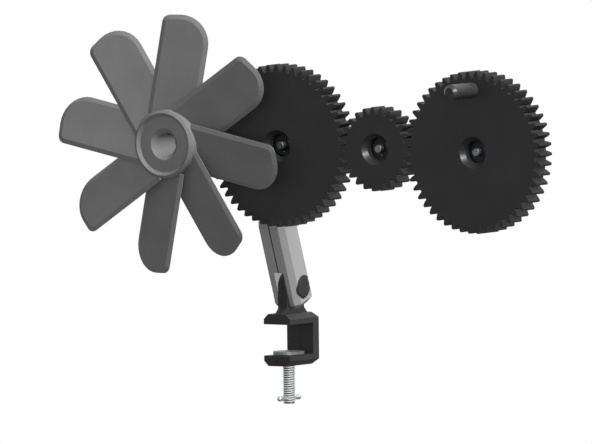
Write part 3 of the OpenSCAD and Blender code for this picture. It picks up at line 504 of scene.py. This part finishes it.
# AXLES. Each wheel turns on a turned steel axle with a collar that holds the bearing off the
# frame. Its M8 tail passes through the bar to a washer and a chamfered hexagon nut.
AXLE_R = 0.004
AXLE_PITCH = 0.00125
AXLE_THREAD = 0.0006
AXLE_BEVEL = 0.0006
AXLE_SIDES = 36
COLLAR_R = 0.006
THREAD_IN = 0.002  # how deep inside the bar the thread starts
PLAIN_IN = 0.0015  # how deep inside the bar the plain part ends
NUT_AF = 0.013  # across the flats of a nut
NUT_SIDES = 72
NUT_FACE = 0.475  # radius of a nut's round face, by its width across the flats
NUT_CHAMFER = 0.0004
CROWN = math.tan(math.radians(30))  # slope of the bevel on a nut's corners
WHEELS = ("crank", "idler", "transfer", "fan")
bar_front, bar_back = (corner.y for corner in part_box("gear_frame"))
nuts_low, nuts_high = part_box("axle_nuts")
middles = {}


def nut_rings(af, bore_r, low, high):
    """A hexagon nut with both faces turned down at the corners and its bore countersunk."""
    face = af * NUT_FACE
    drop = CROWN * (af / 2 - face)
    return [(bore_r, low + NUT_CHAMFER), (bore_r + NUT_CHAMFER, low), (face, low),
            hexagon(af, low + drop, -CROWN), hexagon(af, high - drop, CROWN),
            (face, high), (bore_r + NUT_CHAMFER, high), (bore_r, high - NUT_CHAMFER)]


for wheel in WHEELS:
    low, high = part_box(wheel + "_axle")
    middles[wheel] = Vector(((low.x + high.x) / 2, 0, (low.z + high.z) / 2))
    bearing_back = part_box(wheel + "_bearing_inner")[1].y

    def axle_mesh(body):
        place = Matrix.Translation(middles[wheel]) @ ALONG_Y
        threaded(body, bar_back - THREAD_IN, high.y, AXLE_R, AXLE_PITCH, AXLE_THREAD, AXLE_BEVEL,
                 AXLE_SIDES, place)
        turned(body, [
            (AXLE_R - AXLE_BEVEL, low.y), (AXLE_R, low.y + AXLE_BEVEL), (AXLE_R, bearing_back),
            (COLLAR_R, bearing_back), (COLLAR_R, bar_front), (AXLE_R, bar_front),
            (AXLE_R, bar_back - PLAIN_IN),
        ], ROUND, place)

    axle = new_piece(wheel + "_axle_threaded", axle_mesh, turned_steel)
    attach(axle, "head")
    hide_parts(wheel + "_axle")


def axle_nut_mesh(body):
    for middle in middles.values():
        turned(body, nut_rings(NUT_AF, AXLE_R - AXLE_THREAD, nuts_low.y, nuts_high.y), NUT_SIDES,
               Matrix.Translation(middle) @ ALONG_Y, bored=True)


axle_nuts = new_piece("axle_nuts_chamfered", axle_nut_mesh, zinc)
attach(axle_nuts, "head")
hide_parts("axle_nuts")
dress(zinc, "axle_washers")

# BEARINGS. Four sealed ball bearings. Their steel rings are ground and then blackened in hot
# salts, with bright steel balls, black nitrile seals and a pressed brass cage between them.

# Black oxide on ground steel: almost black, with a thin silky shine
black_oxide = bare_metal("black_oxide_steel", "#2c2d2f", "#222325", rough=0.36)
# Ground steel: a clear, cool shine
ground_steel = bare_metal("ground_bearing_steel", "#8b8c8e", "#7c7d7f", rough=0.24)
# Nitrile rubber: dull black
nitrile = moulded("black_nitrile_rubber", "#1d1d1d", "#141414", ior=1.52, shine=0.2, rough=0.66)
for wheel in WHEELS:
    dress(black_oxide, wheel + "_bearing_inner", wheel + "_bearing_outer")
    dress(ground_steel, wheel + "_bearing_balls")
    dress(nitrile, wheel + "_bearing_seals")
    dress(turned_brass, wheel + "_bearing_cage")

# GEARS. Three spur gears of module 3 in the clamp's black nylon, each with a bearing pressed
# into its bevelled bore. Their faces and teeth come straight from the mould.
GEARED = WHEELS[:3]

# The same nylon, more matt, with each bore cut by a tool so that its bevel glints
bored_nylon = moulded("bored_black_nylon", "#242425", "#1c1c1e", ior=1.53, shine=0.2, rough=0.62,
                      bores=[(middles[wheel].x, middles[wheel].z) for wheel in GEARED])
for wheel in GEARED:
    dress(bored_nylon, wheel + "_gear")
    glinting.objects.link(nodes[wheel + "_gear"])

# CRANK HANDLE. A black nylon sleeve spins on a steel pin with a wide head, and a plug closes
# its end. The pin is bolted through the gear to a nut sunk in its back.
PIN_NUT_AF = 0.008
PIN_R = 0.0025
pin_low, pin_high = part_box("crank_pin_nut")


def pin_nut_mesh(body):
    place = Matrix.Translation(((pin_low.x + pin_high.x) / 2, 0, (pin_low.z + pin_high.z) / 2))
    turned(body, nut_rings(PIN_NUT_AF, PIN_R, pin_low.y, pin_high.y), NUT_SIDES,
           place @ ALONG_Y, bored=True)


pin_nut = new_piece("crank_pin_nut_chamfered", pin_nut_mesh, zinc)
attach(pin_nut, "crank_wheel")
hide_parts("crank_pin_nut")
dress(turned_steel, "crank_pin")
# The same nylon rubbed smooth by the hand, which gives its bevel a bright glint. Its tone is
# painted lighter than the other nylon, as painted light on the sleeve
lightened_rubbed_nylon = moulded("rubbed_black_nylon_painted_light", "#363637", "#2e2e2f", ior=1.53, shine=0.22,
                       rough=0.34)
dress(lightened_rubbed_nylon, "handle_sleeve")
dress(black_nylon, "handle_plug")
glinting.objects.link(nodes["handle_sleeve"])

# FAN. One moulding in mid grey ABS: eight flat blades with bevelled rims set in a round hub,
# and the small pinion behind them that the train drives.

# Mid grey ABS: as even and dry as the arm's, and a tone darker
grey_abs = moulded("mid_grey_abs", "#6f6f6f", "#666666", ior=1.54, shine=0.18, rough=0.55)
dress(grey_abs, "fan_rotor")
